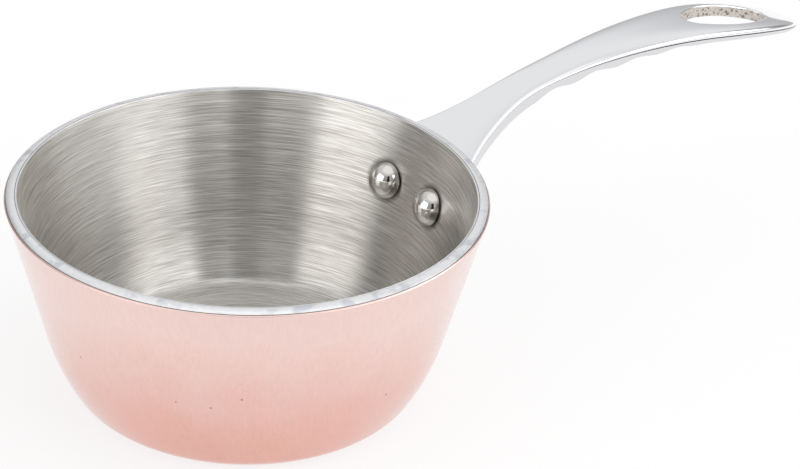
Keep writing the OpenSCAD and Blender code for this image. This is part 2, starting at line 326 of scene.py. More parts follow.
def hole_point(outwards):
    """Centre plus radius times direction, for half of the outline, from neck to tip."""
    turn = facing - np.pi / 2
    on_side = np.abs(turn) < side_turn - 1e-6
    radius = np.where(on_side, side_r, hole_end_r) + outwards
    centre_y = np.where(on_side, hole_w / 2 - side_r, 0)
    centre_x = np.where(on_side, 0, -end_x * np.sign(turn))
    x = hole_at + centre_x + radius * np.cos(facing)
    return np.stack([x, np.maximum(centre_y + radius * np.sin(facing), 0)], axis=-1)

hole_edge_r = 0.8
print("hole from x =", hole_point(0)[0, 0], "to", hole_point(0)[-1, 0])

# %% [markdown]
# ## Top and underside
# Half of the handle is made and then mirrored, because it is the same on both sides.
# The top and the underside are two sheets with the same rows. A row crosses from the
# middle line, or from the hole's edge, to the side, with its points crowded towards
# the side where the surface turns over fastest. Near the wall the rows bend to follow
# the round pan, and under the neck the sheet runs down through a hollow to the flange.

# %% Rows along the handle
flat_from = 106.0
rows_to_hole, columns, rounds = 65, 25, 12
hole_lip = hole_point(hole_edge_r)
before_hole = np.linspace(flat_from, hole_lip[0, 0], rows_to_hole + 1)[:-1]
last = hole_lip[-1, 0]
tip_rows = last + (reach - last) * np.sin(np.linspace(0, np.pi / 2, 25))[1:]
rows_s = np.concatenate([before_hole, hole_lip[:, 0], tip_rows])
hole_rows = slice(rows_to_hole, rows_to_hole + len(facing))
rows_in = np.zeros_like(rows_s)
rows_in[hole_rows] = hole_lip[:, 1]
crowd = 1 - (1 - np.linspace(0, 1, columns)) ** 3

def on_wall(y, z, depth=0.0):
    """Where a line along the handle leaves the round wall, pushed out by a depth."""
    return np.sqrt(wall_radius(z, -depth) ** 2 - y ** 2)

s = rows_s[:, None]
y = rows_in[:, None] + (half_w(s) - rows_in[:, None]) * crowd
top_far = xyz(s, y, top_z(s, y))

wall_s, wall_y = np.full(columns, root_at), half_w(root_at) * crowd
for _ in range(rounds):
    wall_s = on_wall(wall_y, top_z(wall_s, wall_y))
    wall_y = half_w(wall_s) * crowd
root_rows = 14
share = np.linspace(0, 1, root_rows + 1)[:-1, None]
s = wall_s + (flat_from - wall_s) * share
y = half_w(s) * crowd
top_near = xyz(s, y, top_z(s, y))
top = np.concatenate([top_near, top_far])
print("the neck is", round(2 * float(wall_y[-1]), 1), "mm wide where it meets the wall")

# %% [markdown]
# ## Flange and hollow
# Under the neck the casting spreads into a flange that hugs the pan, and a
# web in the middle stiffens the corner between the two. Each line across the sheet
# is drawn like a pipe bend: straight up the flange, round a hollow, out along the
# neck. The hollow is larger in the middle than at the sides, and that is the web.

# %% Flange and hollow
flange_t, flange_z, flange_h, corner_h = 4.0, 40.0, 23.5, 11.0
flange_half_w, flange_taper = 23.0, 3.0
hollow_r, web_more_r, web_half_w, web_fade_w = 5.0, 9.0, 1.5, 6.5
first_half_w = 20.0

def flange_half(z, inset=0.0):
    """Half width of the flange: it tapers down, and a power of 3 rounds its lower edge."""
    down = np.clip((flange_z + corner_h - z) / (corner_h - inset), 0, 1)
    taper = flange_half_w - flange_taper * (root_z - z) / flange_h
    return (taper - inset) * np.round(1 - down ** 3, 12) ** (1 / 3)

def hollow_lines(inset, across):
    """Each column's corner, and the places where the hollow leaves flange and neck."""
    x, y, z = root_at + flange_t, first_half_w * across, np.full(len(across), root_z)
    for _ in range(rounds):
        y = ((foot_w(x) + flange_half(z)) / 2 - inset) * across
        x = on_wall(y, z, flange_t)
        z = under_z(x, y)
    radius = hollow_r + web_more_r * (1 - soft_step((y - web_half_w) / web_fade_w))
    low_z = z - radius * np.cos(lean)
    low_y = flange_half(low_z, inset) * across
    out_x = x + radius * np.cos(climb)
    out_y = (foot_w(out_x) - inset) * across
    return (xyz(on_wall(low_y, low_z, flange_t), low_y, low_z),
            xyz(x, y, z), xyz(out_x, out_y, under_z(out_x, out_y)))

def flange_face(inset, across, low):
    """Rows up the flange, from the middle of its rounded lower edge to the hollow."""
    turn = np.linspace(np.pi / 2, 0, 13)[:-1]
    foot = flange_z + corner_h - (corner_h - inset) * np.sin(turn) ** (2 / 3)
    side = np.concatenate([foot, np.linspace(foot[-1], low[-1, 2], 9)[1:-1]])
    share = (side - foot[0]) / (low[-1, 2] - foot[0])
    z = foot[0] + (low[:, 2] - foot[0]) * share[:, None]
    y = flange_half(z, inset) * across
    return xyz(on_wall(y, z, flange_t), y, z)

def under_sheet(inset, across):
    """The whole underside from the flange's lower edge to the tip, moved in at its sides."""
    low, corner, out = hollow_lines(inset, across)
    hollow = soft_corner(low, corner, out, 13)
    share = np.linspace(0, 1, 11)[1:-1, None]
    s = out[:, 0] + (flat_from - out[:, 0]) * share
    y = (foot_w(s) - inset) * across
    neck = xyz(s, y, under_z(s, y))
    s = rows_s[:, None]
    pulled = np.minimum(inset, foot_w(s) / 3)
    y = rows_in[:, None] + (foot_w(s) - pulled - rows_in[:, None]) * across
    grip = xyz(s, y, under_z(s, y))
    return np.concatenate([flange_face(inset, across, low), hollow, neck, grip])

edge_r = 0.6
under = under_sheet(edge_r, np.linspace(0, 1, columns))
print("underside:", under.shape[0], "rows, flange down to", round(float(under[0, 0, 2]), 1))

# %% [markdown]
# ## Sides, hole wall and seat
# The side of the handle is a strip between the edge of the top and the edge of the
# underside. It runs from the middle of the flange, round its corner, up to the neck
# and along to the tip. A soft corner joins it to the underside, the way a polishing
# wheel leaves a cast edge. The hole's wall gets a soft corner above and below, and a
# last sheet closes the end that sits against the pan.

# %% Side strip and seat
settle_h = 9.0
sharp = under_sheet(0.0, np.ones(1))[:, -1]
corner_turn = np.linspace(0, np.pi / 2, 13)
low_z = flange_z + corner_h - corner_h * np.sin(corner_turn) ** (2 / 3)
spare = len(under) - len(top) - len(low_z)
high_z = np.linspace(top[0, -1, 2], low_z[0], spare + 2)[1:-1]
z = np.concatenate([high_z, low_z])[::-1]
settle = soft_step((z - top[0, -1, 2] + settle_h) / settle_h)
y = flange_half(z) + (top[0, -1, 1] - flange_half(top[0, -1, 2])) * settle
contact = xyz(on_wall(y, z), y, z)
above = np.concatenate([contact, top[:, -1]])

span = above - sharp
length = np.linalg.norm(span, axis=-1, keepdims=True)
start = sharp + span / length * np.minimum(edge_r, length / 3)
corner = soft_corner(under[:, -1], sharp, start)
rise = start + (above - start) * np.linspace(0, 1, 6)[1:, None, None]
side = np.concatenate([corner, rise]).transpose(1, 0, 2)

y, z = contact[:, 1:2] * crowd, contact[:, 2:]
seat = np.concatenate([xyz(on_wall(y, z), y, z), top[:1]])
print("side strip", side.shape, "seat", seat.shape)

# %% Wall of the hole
rim_xy = hole_point(0)
rim_x, rim_y = rim_xy.T
hole_top = top[root_rows:][hole_rows, 0]
hole_under = under[len(under) - len(rows_s):][hole_rows, 0]

def soft_lip(sheet_edge, height, turn_down):
    """From the sheet's edge over the sharp line to a point on the wall of the hole."""
    line = xyz(rim_x, rim_y, height)
    return soft_corner(sheet_edge, line, line - turn_down * np.array([0, 0, hole_edge_r]), 7)

upper = soft_lip(hole_top, top_z(rim_x, rim_y), 1)
lower = soft_lip(hole_under, under_z(rim_x, rim_y), -0.5)
t = np.linspace(0, 1, 7)[1:-1, None, None]
middle = upper[-1] + (lower[-1] - upper[-1]) * t
hole_wall = np.concatenate([upper, middle, lower[::-1]]).transpose(1, 0, 2)
print("hole wall is", np.round((upper[-1] - lower[-1])[:, 2].min(), 2), "mm deep or more")

# %% The whole casting
half = join([grid(top), grid(under, flip=True), grid(side, flip=True),
             grid(seat), grid(hole_wall, flip=True)])
mirrored = half[0] * np.array([1, -1, 1]), half[1][:, ::-1]
pieces["handle"] = make_piece("cast_handle", *join([half, mirrored]))

# %% [markdown]
# ## Rivets
# A rivet is one turned part: a domed head inside the pan, a shank through the sheet
# and the flange, and a closed end that was hammered down outside. The wall is a cone
# and not flat, so the rings under the head and the closed end follow the wall: each
# of their points slides along the rivet's axis until it is on the cone.

# %% Rivets
rivet_z, rivet_pitch = 49.9, 24.4
head_d, head_h, shank_d, tail_d, tail_h, lip = 13.4, 6.0, 6.0, 9.6, 2.0, 0.5
near_seat = 9.0
rivet_r = wall_radius(rivet_z, wall_t)
rivet_turn = np.arcsin(rivet_pitch / 2 / rivet_r)
rivet_foot = np.array([rivet_r, 0, rivet_z])
rivet_out = np.array([np.cos(lean), 0, -np.sin(lean)])
rivet_up = np.array([np.sin(lean), 0, np.cos(lean)])

def dome_profile(diameter, height, steps=16):
    """A cap of a sphere over a short upright lip, from the pole down to the lip's foot."""
    cap = height - lip
    ball = (diameter ** 2 / 4 + cap ** 2) / cap / 2
    angle = np.linspace(0, np.arcsin(min(1, diameter / 2 / ball)), steps)
    return np.stack([ball * np.sin(angle), height - ball * (1 - np.cos(angle))], axis=-1)

def turn_about_z(points, angle):
    """Turns points about the pan's axis: (x cos a - y sin a, x sin a + y cos a, z)."""
    x, y, z = np.moveaxis(points, -1, 0)
    return xyz(x * np.cos(angle) - y * np.sin(angle), x * np.sin(angle) + y * np.cos(angle), z)

def on_axis(profile, side, turns=64):
    """Turns a profile of (radius, distance out) round the rivet's axis, in the pan's frame."""
    angle = np.linspace(0, 2 * np.pi, turns + 1)
    angle[-1] = 0
    ring = np.cos(angle)[:, None] * np.array([0, 1, 0]) + np.sin(angle)[:, None] * rivet_up
    points = rivet_foot + profile[:, None, :1] * ring + profile[:, None, 1:] * rivet_out
    return turn_about_z(points, side * rivet_turn)

def slide_to_wall(points, side, depth):
    """Moves points along the rivet's axis until they lie on the wall at a depth."""
    along = turn_about_z(rivet_out, side * rivet_turn)
    for _ in range(8):
        gap = wall_radius(points[..., 2], depth) - np.hypot(points[..., 0], points[..., 1])
        points = points + gap[..., None] * np.cos(lean) * along
    return points

def rivet(name, side):
    """Head, foot of the head on the lining, shank, seat on the flange, closed end."""
    head = dome_profile(head_d, head_h) * [1, -1]
    tail = dome_profile(tail_d, tail_h) + [0, wall_t + flange_t]
    under_head = np.array([[head_d / 2, 0], [shank_d / 2, 0]])
    under_tail = np.array([[shank_d / 2, near_seat], [tail_d / 2, near_seat]])
    foot = slide_to_wall(on_axis(under_head, side), side, wall_t)
    seat = slide_to_wall(on_axis(under_tail, side), side, -flange_t)
    points = np.concatenate([on_axis(head, side), foot, seat, on_axis(tail[::-1], side)])
    return make_piece(name, *grid(points, flip=True), 40)

pieces["rivet_left"] = rivet("rivet_left_polished", 1)
pieces["rivet_right"] = rivet("rivet_right_polished", -1)

# %% [markdown]
# ## Drilling for the rivets
# The shanks pass through the three layers and the flange, so each of these gets two
# round holes. The heads hide them, but a part that is taken apart shows them. A
# Boolean modifier cuts them with a plain rod, and its result is kept as the mesh.

# %% Rivet holes
hole_clear = 0.1
rod_from, rod_to = -7.0, 11.0

def rod(side):
    """A closed round bar along the rivet's axis, from inside the pan to past the flange."""
    radius = shank_d / 2 + hole_clear
    profile = np.array([[0, rod_from], [radius, rod_from], [radius, rod_to], [0, rod_to]])
    points, faces = grid(on_axis(profile, side, 48), flip=True)
    return make_piece("drill", points, faces)

def drill(piece):
    """Takes a rod at each rivet's axis out of a piece, and keeps the drilled mesh."""
    for side in (1, -1):
        bar = rod(side)
        cut = piece.modifiers.new("drill", "BOOLEAN")
        cut.operation, cut.solver, cut.object = "DIFFERENCE", "EXACT", bar
        bpy.context.view_layer.update()
        seen = piece.evaluated_get(bpy.context.evaluated_depsgraph_get())
        drilled = bpy.data.meshes.new_from_object(seen)
        piece.modifiers.clear()
        piece.data = drilled
        bpy.data.objects.remove(bar)
    piece.data.set_sharp_from_angle(angle=np.radians(40))
    print(piece.name, "drilled:", len(piece.data.polygons), "faces")

for node in ("copper_shell", "aluminium_core", "steel_lining", "handle"):
    drill(pieces[node])

# %% [markdown]
# ## How a finish is written down
# A material is a small network of nodes. Colours are written as hex values, as a
# paint chart gives them, and turned to the linear light that the renderer adds up.
# Patterns are measured in millimetres: a noise with a scale of 1000 / d per metre
# has spots about d millimetres across. One small function adds a node of any kind, so
# each line says what the node is, how it is set and what is linked into it.

# %% Helpers for finishes
def linear(hex_colour):
    """sRGB hex to linear light: the dark end divides by 12.92, the rest is a power of 2.4."""
    value = np.array([int(hex_colour[i:i + 2], 16) for i in (1, 3, 5)]) / 255
    light = np.where(value <= 0.04045, value / 12.92, ((value + 0.055) / 1.055) ** 2.4)
    return (*light.tolist(), 1.0)

def fill(node, inputs):
    """Fills a node's inputs: a node or a socket is linked, and a value is set.
    "map" is a range's From Min, From Max, To Min and To Max, as far as it goes, and
    "stops" is a colour ramp's two places with their hex colours."""
    for key, value in inputs.items():
        if isinstance(value, (bpy.types.Node, bpy.types.NodeSocket)):
            source = getattr(value, "outputs", [value])[0]
            node.id_data.links.new(source, node.inputs[key])
        elif key == "map":
            for end, number in zip(("From Min", "From Max", "To Min", "To Max"), value):
                node.inputs[end].default_value = number
        elif key == "stops":
            for element, (position, colour) in zip(node.color_ramp.elements, value):
                element.position, element.color = position, linear(colour)
        elif isinstance(key, str) and hasattr(node, key):
            setattr(node, key, value)
        else:
            node.inputs[key].default_value = value
    return node

def network(tree):
    """The function that adds a node, filled, to one network."""
    def add(kind, inputs=None):
        return fill(tree.nodes.new("ShaderNode" + kind), inputs or {})
    return add

def new_finish(name):
    """A plain metal: its material, its adder, its shader and the object's coordinates."""
    finish = bpy.data.materials.new(name)
    finish.use_nodes = True
    tree = finish.node_tree
    shader = fill(tree.nodes["Principled BSDF"], {"Metallic": 1})
    add = network(tree)
    return finish, add, shader, add("TexCoord").outputs["Object"]

def dress(node, finish):
    """Gives a piece its finish and its place in the frame, and hides the CAD node that it stands
    for.
    """
    piece = pieces[node]
    piece.data.materials.clear()
    piece.data.materials.append(finish)
    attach(piece, "root")
    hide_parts(node)
    print(piece.name, "is", finish.name)

print("middle grey #808080 is", round(linear("#808080")[0], 3), "in linear light")

# %% [markdown]
# ## Depth in the sheet
# The joints between the layers come to the surface at the rim. Dirt and polish stay in
# them, so each is a fine dark line. How deep a point lies in the sheet is the wall's
# radius at its height less its own radius, measured square to the wall. The belly bends
# in past the same depths, so a mark of the rim is kept to its last three millimetres.

# %% Depth and joints
rim_band = 3.0

def round_axis(add, place):
    """The place with its height taken out, its distance from the axis, and its height."""
    flat = add("VectorMath", {"operation": "MULTIPLY", 0: place, 1: (1, 1, 0)})
    radius = add("VectorMath", {"operation": "LENGTH", 0: flat})
    height = add("SeparateXYZ", {0: place})
    return flat, radius.outputs["Value"], height.outputs["Z"]

def depth_in_sheet(add, place):
    """Millimetres inwards from the outer face: the cone's radius less the point's."""
    _, radius, height = round_axis(add, place)
    cone = add("Math", {"operation": "MULTIPLY_ADD", 0: height, 1: float(np.tan(lean)),
                        2: float(wall_radius(0.0)) * MM})
    inside = add("Math", {"operation": "SUBTRACT", 0: cone, 1: radius})
    return add("Math", {"operation": "MULTIPLY", 0: inside, 1: float(np.cos(lean)) / MM})

def rim_only(add, place, mark):
    """A mark where the height is in the rim's band, and 0 lower down."""
    height = add("SeparateXYZ", {0: place}).outputs["Z"]
    high = add("Math", {"operation": "GREATER_THAN", 0: height, 1: (pan_h - rim_band) * MM})
    return add("Math", {"operation": "MULTIPLY", 0: mark, 1: high})

def joint(add, place, depth, at, half_width):
    """1 on a joint at the rim, and 0 beyond half_width from it or lower than the rim."""
    near = add("Math", {"operation": "COMPARE", 0: depth, 1: at, 2: half_width})
    return rim_only(add, place, near)

print("joints at depths of", copper_t, "and", round(copper_t + core_t, 1), "mm")

# %% [markdown]
# ## Brushed stainless steel
# The lining is polished on a lathe with an abrasive pad, which leaves fine rings round
# the axis. The rings blur a reflection up and down but not sideways, so a lamp becomes
# an upright streak: that is anisotropy. The rings are drawn with a noise that is long
# round the axis and short across it. Radius plus height grows steadily from the
# middle of the base to the rim, so one number counts the rings on base and wall alike.
# Real pad lines are under a tenth of a millimetre wide. These are drawn about 0.4 mm
# wide, because finer ones would average out to a plain grey in a picture of this size.

# %% Ring coordinates
wall_mean_r = 70.0

def ring_place(add, place, arc_mm, width_mm):
    """Direction round the axis, scaled so a stroke is arc_mm long, and rings width_mm apart."""
    flat, radius, height = round_axis(add, place)
    around = add("VectorMath", {"operation": "NORMALIZE", 0: flat})
    turn = add("VectorMath", {"operation": "SCALE", "Scale": wall_mean_r / arc_mm, 0: around})
    count = add("Math", {"operation": "ADD", 0: radius, 1: height})
    across = add("Math", {"operation": "MULTIPLY", 0: count, 1: 1000 / width_mm})
    lift = add("CombineXYZ", {"Z": across})
    return add("VectorMath", {"operation": "ADD", 0: turn, 1: lift})

# %% Strokes of the lining
lining, add, shader, place = new_finish("lathe_brushed_stainless")
fill(shader, {"Anisotropic": 0.95, "Anisotropic Rotation": 0.25})
tangent = add("Tangent", {"direction_type": "RADIAL", "axis": "Z"})
stroke_kinds = [(14, 0.35, 2, 0.65), (36, 0.42, 3, 0.6), (220, 0.42, 2, 0.7)]
fine, coarse, rings = [
    add("TexNoise", {"Scale": 1, "Detail": detail, "Roughness": roughness,
                     "Vector": ring_place(add, place, arc_mm, width_mm)})
    for arc_mm, width_mm, detail, roughness in stroke_kinds]
strokes = add("Mix", {"data_type": "FLOAT", 0: 0.35, 2: fine, 3: coarse})
_, radius, height = round_axis(add, place)
ringed = add("MapRange", {"map": (50 * MM, 30 * MM, 0.2, 0.7), "Value": radius})
strokes = add("Mix", {"data_type": "FLOAT", 0: ringed, 2: strokes, 3: rings})
tone = add("ValToRGB", {"stops": [(0.39, "#b2ada7"), (0.61, "#f3f2ef")], 0: strokes})
print("strokes, long and wide in mm:", [kind[:2] for kind in stroke_kinds])

# %% [markdown]
# ## Painted shade and a painted highlight on the lining
# Three places of the lining differ. A ring round each rivet head is painted darker, as
# painted shade where the heads shade the wall. The tight bend at the foot of the wall
# is painted darker too, as painted shade in the bend. The cut edge on the rim is ground
# with the rest of the rim and painted as pale as the aluminium, a painted highlight that
# widens the rim's bright band.

# %% Marks on the lining
feet = [turn_about_z(rivet_foot, side * rivet_turn) * MM for side in (1, -1)]
left, right = [add("VectorMath", {"operation": "DISTANCE", 0: place,
                                  1: tuple(foot)}).outputs["Value"] for foot in feet]
nearest = add("Math", {"operation": "MINIMUM", 0: left, 1: right})
# painted shade: near a rivet's foot the strokes darken to 0.35 of their tone, fading out by 8.8
# mm
clear = add("MapRange", {"map": (6.8 * MM, 8.8 * MM, 0.35), "Value": nearest})
# painted shade: the tight bend about 5 to 11 mm up is painted 16 percent darker
bend_start = add("MapRange", {"map": (4.5 * MM, 5.2 * MM), "Value": height})
bend_end = add("MapRange", {"map": (11 * MM, 7 * MM), "Value": height})
in_bend = add("Math", {"operation": "MULTIPLY", 0: bend_start, 1: bend_end})
bend_shade = add("MapRange", {"map": (0, 1, 1.0, 0.84), "Value": in_bend})
rivet_and_bend_shade = add("Math", {"operation": "MULTIPLY", 0: clear, 1: bend_shade})
shaded_strokes = add("VectorMath", {"operation": "SCALE", "Scale": rivet_and_bend_shade, 0: tone})
# painted highlight: the lining's cut edge on the rim is painted as pale as the aluminium,
# widening the rim's bright band
inside_cut = add("Math", {"operation": "LESS_THAN", 0: depth_in_sheet(add, place),
                          1: wall_t - 0.1})
lining_with_rim_highlight = add("Mix", {"data_type": "RGBA", 0: rim_only(add, place, inside_cut), 6: shaded_strokes,
                    7: linear("#f6f6f7")})
gloss = add("MapRange", {"map": (0.35, 0.65, 0.36, 0.28), "Value": strokes})
relief = add("Bump", {"Strength": 0.3, "Distance": 0.02 * MM, "Height": fine})
fill(shader, {"Base Color": lining_with_rim_highlight.outputs[2], "Roughness": gloss, "Normal": relief,
              "Tangent": tangent})
dress("steel_lining", lining)

# %% [markdown]
# ## Polished copper
# The outside is copper under a thin clear lacquer, which keeps a pan bright in the
# shop. The lacquer is what turns its edges pale where the eye skims over them. The
# copper is painted deeper and darker towards the foot and paler upwards: a painted
# reflection of the darker, copper-tinted floor close to the pan. It also has cloudy
# patches where the polish differs, faint upright streaks, and a few small dark specks
# from handling.

# %% Copper finish
copper, add, shader, place = new_finish("lacquered_polished_copper")
fill(shader, {"Coat Weight": 1.0, "Coat Roughness": 0.15})
height = add("SeparateXYZ", {0: place}).outputs["Z"]
clouds = add("TexNoise", {"Scale": 1000 / 22, "Detail": 4, "Roughness": 0.62, "Vector": place})
# painted reflection: the colour is deeper and darker towards the foot and paler upwards
height_share = add("MapRange", {"map": (4 * MM, 75 * MM), "Value": height})
clouds_and_painted_reflection = add("Math", {"operation": "MULTIPLY_ADD", 0: clouds, 1: 0.5, 2: height_share})
tint = add("ValToRGB", {"stops": [(0.2, "#e7a594"), (1.0, "#f5d6cf")], 0: clouds_and_painted_reflection})
streak_place = add("VectorMath", {"operation": "MULTIPLY", 0: place,
                                  1: (1000 / 0.9, 1000 / 0.9, 1000 / 14)})
streaks = add("TexNoise", {"Scale": 1, "Detail": 2, "Roughness": 0.6, "Vector": streak_place})
faint = add("MapRange", {"map": (0.3, 0.7, 0.965, 1.02), "Value": streaks})
streaked = add("VectorMath", {"operation": "SCALE", "Scale": faint, 0: tint})
print("nodes of the copper so far:", len(copper.node_tree.nodes))

# %% Specks and joint of the copper
spots = add("TexVoronoi", {"Scale": 1000 / 7, "Vector": place})
chance = add("SeparateColor", {0: spots.outputs["Color"]})
rare = add("Math", {"operation": "GREATER_THAN", 0: chance.outputs["Red"], 1: 0.86})
close = add("MapRange", {"map": (0.03, 0.06, 1, 0), "Value": spots.outputs["Distance"]})
speck = add("Math", {"operation": "MULTIPLY", 0: rare, 1: close})
marked = add("Mix", {"data_type": "RGBA", 0: speck, 6: streaked, 7: linear("#8d5a4c")})
edge = joint(add, place, depth_in_sheet(add, place), copper_t, 0.1)
jointed = add("Mix", {"data_type": "RGBA", 0: edge, 6: marked.outputs[2], 7: linear("#8a6358")})
satin = add("MapRange", {"map": (0.3, 0.7, 0.26, 0.36), "Value": clouds})
fill(shader, {"Base Color": jointed.outputs[2], "Roughness": satin})
dress("copper_shell", copper)

# %% [markdown]
# ## Ground aluminium
# The rim shows the cut edge of the sheet. It is ground flat on a belt, which leaves
# the soft aluminium pale, a little mottled and only half shiny. Soft metal is also
# the first to be rubbed, so it has cooler grey patches some 7 mm long.

# %% Aluminium finish
aluminium, add, shader, place = new_finish("ground_aluminium")
mottle = add("TexNoise", {"Scale": 1000 / 1.6, "Detail": 3, "Roughness": 0.6, "Vector": place})
ground = add("ValToRGB", {"stops": [(0.3, "#f1f2f4"), (0.65, "#f9fafb")], 0: mottle})
rubs = add("TexNoise", {"Scale": 1000 / 7, "Detail": 2, "Roughness": 0.6, "Vector": place})
rubbed = add("MapRange", {"map": (0.54, 0.66, 0, 0.7), "Value": rubs})
patched = add("Mix", {"data_type": "RGBA", 0: rubbed, 6: ground, 7: linear("#cdd2da")})
depth = depth_in_sheet(add, place)
outer = joint(add, place, depth, copper_t, 0.15)
inner = joint(add, place, depth, copper_t + core_t, 0.14)
either = add("Math", {"operation": "MAXIMUM", 0: outer, 1: inner})
lined = add("Mix", {"data_type": "RGBA", 0: either, 6: patched.outputs[2],
                    7: linear("#6f6b69")})
half_shiny = add("MapRange", {"map": (0.3, 0.7, 0.28, 0.36), "Value": mottle})
uneven = add("Bump", {"Strength": 0.3, "Distance": 0.03 * MM, "Height": mottle})
fill(shader, {"Base Color": lined.outputs[2], "Roughness": half_shiny, "Normal": uneven})
dress("aluminium_core", aluminium)

# %% [markdown]
# ## Polished cast steel
# The handle is cast, ground and polished until it reflects like a soft mirror. The
# reflections stay a little wavy, because polishing by hand never gets a casting true.
# The polishing wheel can't reach into the hanging hole, so its wall keeps the skin of
# the casting, sandy and pitted. Where the top turns into the side, the eased edge
# reflects the dark part of the room as a hair line. Such an edge is finer than a pixel,
# so this reflection is drawn in the finish as a painted dark line, and the sides are
# painted a shade darker, as painted shade. Two numbers on the mesh's points say where
# the skin and the edge are.

# %% Marks on the handle's points
def write_points(piece, name, values):
    """Stores one number with every point of a piece."""
    mark = piece.data.attributes.new(name, "FLOAT", "POINT")
    mark.data.foreach_set("value", values.astype(np.float32))

def mark_handle(piece):
    """cast_skin: 1 on the hole's wall. over_edge: height above the side edge, in mm."""
    line = np.concatenate([rim_xy, rim_xy[::-1] * [1, -1]]) * MM
    points = np.empty(len(piece.data.vertices) * 3)
    piece.data.vertices.foreach_get("co", points)
    points = points.reshape(-1, 3)
    gap = np.linalg.norm(points[:, None, :2] - line[None], axis=-1).min(axis=1)
    skin = gap < 0.05 * MM
    over = points[:, 2] / MM - edge_z(points[:, 0] / MM)
    write_points(piece, "cast_skin", skin * 1.0)
    write_points(piece, "over_edge", over)
    print("points of cast skin:", int(skin.sum()))
    print("crown up to", round(float(over.max()), 1), "mm")

mark_handle(pieces["handle"])

# %% Sand in the hanging hole
cast, add, shader, place = new_finish("polished_cast_stainless")
skin = add("Attribute", {"attribute_name": "cast_skin"}).outputs["Fac"]
grit = add("TexNoise", {"Scale": 1000 / 0.9, "Detail": 3, "Roughness": 0.7, "Vector": place})
pits = add("TexVoronoi", {"Scale": 1000 / 1.8, "Vector": place})
pitted = add("MapRange", {"map": (0.1, 0.45), "Value": pits.outputs["Distance"]})
sandy = add("Math", {"operation": "MULTIPLY", 0: grit, 1: pitted})
sand = add("ValToRGB", {"stops": [(0.2, "#948a82"), (0.5, "#e2dcd5")], 0: sandy})
print("nodes of the cast steel so far:", len(cast.node_tree.nodes))

# %% Handle finish
edge_line_at, edge_line_half = 0.2, 0.22
over = add("Attribute", {"attribute_name": "over_edge"}).outputs["Fac"]
# painted shade: below the side edge the steel is painted a shade darker
below = add("MapRange", {"map": (0.1, -0.1), "Value": over})
steel = add("Mix", {"data_type": "RGBA", 0: below, 6: linear("#f8f8fa"), 7: linear("#dfdfe2")})
# painted reflection: a dark hair line just above the side edge
edge_reflection_band = add("Math", {"operation": "COMPARE", 0: over, 1: edge_line_at, 2: edge_line_half})
reach_share = add("MapRange", {"map": (120 * MM, 180 * MM, 0.4),
                               "Value": add("SeparateXYZ", {0: place}).outputs["X"]})
line = add("Math", {"operation": "MULTIPLY", 0: edge_reflection_band, 1: reach_share})
lined = add("Mix", {"data_type": "RGBA", 0: line, 6: steel.outputs[2], 7: linear("#4a4b4f")})
colour = add("Mix", {"data_type": "RGBA", 0: skin, 6: lined.outputs[2], 7: sand})
polish = add("MapRange", {"map": (0, 1, 0.07, 0.5), "Value": skin})
waves = add("TexNoise", {"Scale": 1000 / 16, "Detail": 1, "Vector": place})
hand_polish = add("Bump", {"Strength": 0.2, "Distance": 0.2 * MM, "Height": waves})
rough_height = add("Math", {"operation": "MULTIPLY", 0: sandy, 1: skin})
rough_skin = add("Bump", {"Strength": 0.8, "Distance": 0.4 * MM, "Height": rough_height,
                          "Normal": hand_polish})
fill(shader, {"Base Color": colour.outputs[2], "Roughness": polish, "Normal": rough_skin})
dress("handle", cast)

# %% [markdown]
# ## Rivet steel
# The rivet heads are cold formed in a die and then buffed, so they are close to a
# mirror, slightly dented by the die and with a few pits. The corner where a head meets
# the lining is painted dark, as painted shade, which gives each head a dark outline.

# %% Rivet finish
stud, add, shader, place = new_finish("buffed_rivet_steel")
depth = depth_in_sheet(add, place)
# painted shade: dark where the head meets the lining, fading to the head's colour 0.7 mm in
# front of it
past_corner_shade = add("MapRange", {"map": (wall_t + 0.25, wall_t + 0.7), "Value": depth})
outside = add("Math", {"operation": "LESS_THAN", 0: depth, 1: -flange_t})
unshaded_share = add("Math", {"operation": "MAXIMUM", 0: past_corner_shade, 1: outside})
head = add("Mix", {"data_type": "RGBA", 0: unshaded_share, 6: linear("#4d4844"),
                   7: linear("#dddad6")})
dents = add("TexNoise", {"Scale": 1000 / 4, "Detail": 1, "Vector": place})
dented = add("Bump", {"Strength": 0.5, "Distance": 0.3 * MM, "Height": dents})
holes = add("TexVoronoi", {"Scale": 1000 / 3, "Vector": place})
hollowed = add("MapRange", {"map": (0.04, 0.14), "Value": holes.outputs["Distance"]})
pocked = add("Bump", {"Strength": 0.8, "Distance": 0.2 * MM, "Height": hollowed,
                      "Normal": dented})
fill(shader, {"Base Color": head.outputs[2], "Roughness": 0.1, "Normal": pocked})
dress("rivet_left", stud)
dress("rivet_right", stud)

# %% [markdown]
# ## The studio floor
# Polished metal shows the room more than itself, so the room is part of the finish.
# The ground of the photograph is pure white. Here it is a sheet of white paper that,
# to the camera and to reflections, is four fifths a plain white of strength 1. The
# last fifth is the paper itself, which keeps the pan's shadow. Scattered light meets
# the paper alone, so the floor is no lamp.

